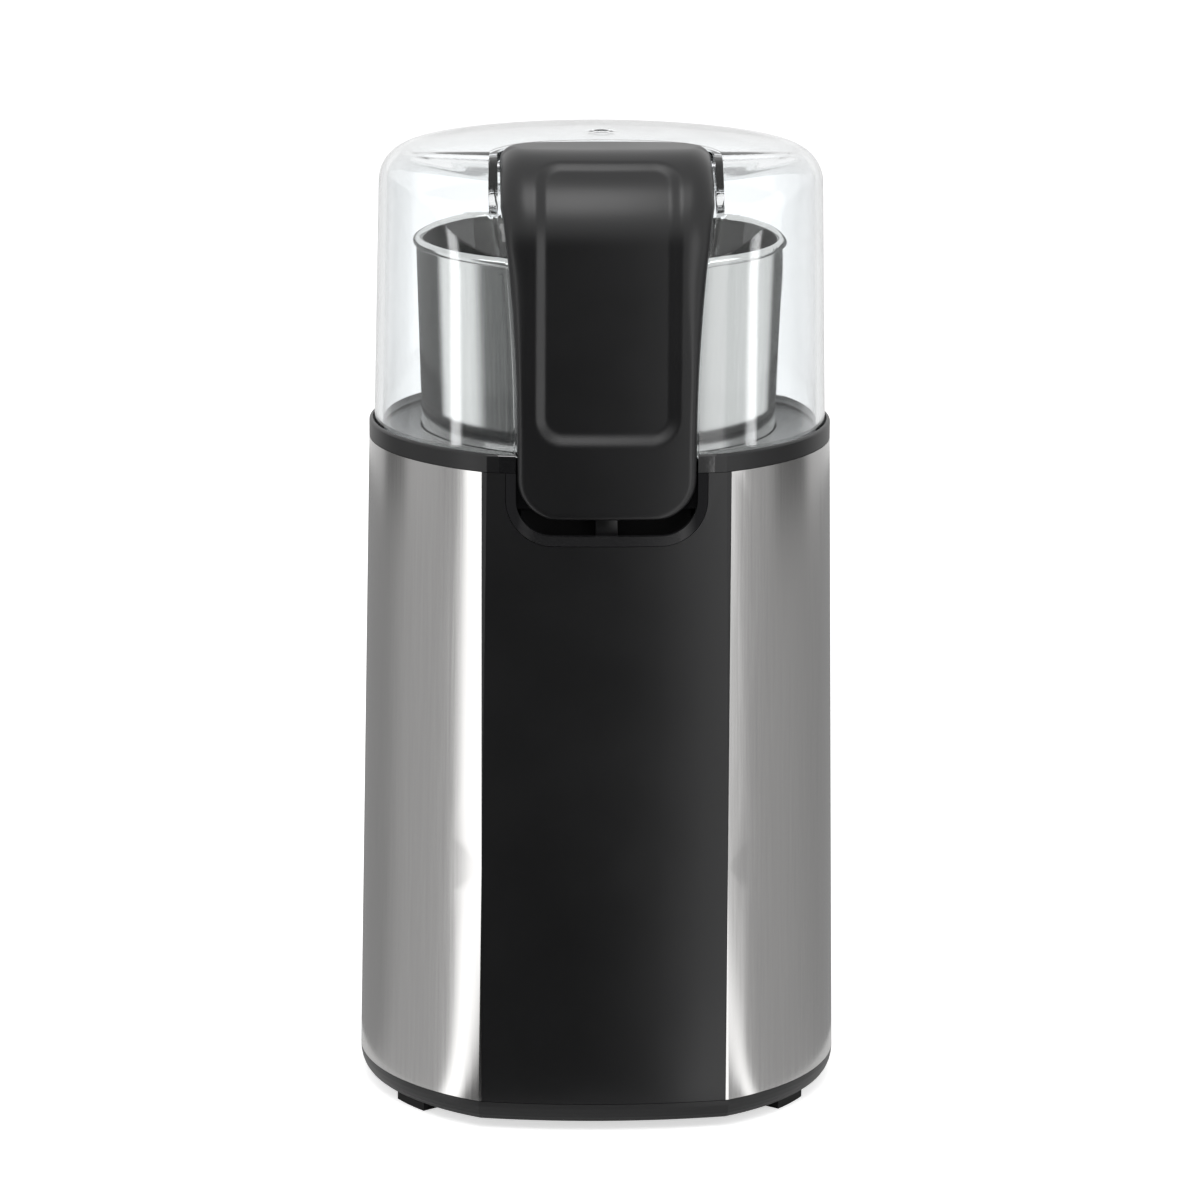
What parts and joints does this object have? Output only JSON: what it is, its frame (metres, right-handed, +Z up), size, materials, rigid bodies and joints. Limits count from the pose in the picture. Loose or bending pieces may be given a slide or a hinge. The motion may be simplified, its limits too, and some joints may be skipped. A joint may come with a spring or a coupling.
{
  "type": "electric coffee grinder",
  "caption": "Upright blade coffee grinder with a steel-wrapped body, a clear lift-off lid and a press lever that runs down the lid's front into the body.",
  "frame": {"origin": "on the motor axis, at the plane that the feet stand on", "axes": "+Z up along the motor shaft, front with the press lever towards -Y, +X to the right seen from the front"},
  "size_m": [0.0964, 0.0941, 0.1934],
  "materials": {
    "black_abs": "satin moulded black ABS",
    "rubber": "matt black rubber",
    "brown_rubber": "brown nitrile rubber",
    "screw_steel": "plain zinc-plated steel",
    "brushed_steel": "stainless sheet, brushed upright",
    "bowl_steel": "polished stainless steel",
    "grey_nylon": "glass-filled nylon",
    "bronze": "sintered bronze",
    "lamination": "stacked electrical steel",
    "copper_wire": "varnished copper wire",
    "copper_bar": "turned copper",
    "brass": "rolled brass",
    "carbon": "pressed carbon",
    "red_nylon": "moulded nylon",
    "ivory_nylon": "moulded nylon",
    "yellow_box": "moulded case",
    "clear_san": "clear moulded SAN"
  },
  "bodies": {
    "base_unit": {"base_cover": "black_abs", "rubber_feet": "rubber", "base_screws": "screw_steel", "inner_housing": "black_abs", "steel_jacket": "brushed_steel", "front_panel": "black_abs", "top_collar": "black_abs", "lever_guide": "black_abs", "grinding_cup": "bowl_steel", "cup_gasket": "rubber", "cup_screws": "screw_steel", "shaft_seal": "brown_rubber", "motor_top_bracket": "grey_nylon", "motor_bottom_bracket": "grey_nylon", "rubber_damper": "rubber", "top_bearing": "bronze", "bottom_bearing": "bronze", "stator_core": "lamination", "field_coils": "copper_wire", "brush_tubes": "brass", "carbon_brushes": "carbon", "brush_springs": "screw_steel", "brush_caps": "brass", "motor_screws": "screw_steel", "switch_carrier": "grey_nylon", "switch_screws": "screw_steel", "microswitch": "black_abs", "plunger_spring": "screw_steel", "terminal_block": "ivory_nylon", "capacitor": "yellow_box", "cord_grommet": "rubber", "cord_clamp": "black_abs", "clamp_screws": "screw_steel"},
    "rotor": {"motor_shaft": "screw_steel", "rotor_core": "lamination", "rotor_windings": "copper_wire", "commutator": "copper_bar", "cooling_fan": "grey_nylon", "thrust_washers": "ivory_nylon", "blade_spacer": "brass", "grinding_blade": "bowl_steel", "blade_nut": "bowl_steel"},
    "lid": {"lid_shell": "clear_san", "lever_pin": "screw_steel"},
    "lever": {"press_lever": "black_abs", "lever_spring": "screw_steel"},
    "plunger": {"switch_plunger": "black_abs"},
    "button": {"microswitch_button": "red_nylon"}
  },
  "joints": [
    {"name": "lid_lift", "type": "slide", "parent": "base_unit", "child": "lid", "axis": [0, 0, 1], "range_m": [0, 0.065]},
    {"name": "lever_press", "type": "hinge", "parent": "lid", "child": "lever", "pos_m": [0, -0.021, 0.1889], "axis": [1, 0, 0], "range_deg": [0, 2], "stiffness_Nm_per_rad": 4},
    {"name": "plunger_push", "type": "slide", "parent": "base_unit", "child": "plunger", "axis": [0, 1, 0], "range_m": [0, 0.0026], "deforming": ["plunger_spring"]},
    {"name": "button_push", "type": "slide", "parent": "base_unit", "child": "button", "axis": [0, 1, 0], "range_m": [0, 0.0008]},
    {"name": "blade_spin", "type": "hinge", "parent": "base_unit", "child": "rotor", "pos_m": [0, 0, 0.102], "axis": [0, 0, 1], "continuous": true}
  ],
  "couplings": [
    {"joint": "plunger_push", "follows": "lever_press", "m_per_rad": 0.0687},
    {"joint": "button_push", "follows": "lever_press", "m_per_rad": 0.02061}
  ]
}
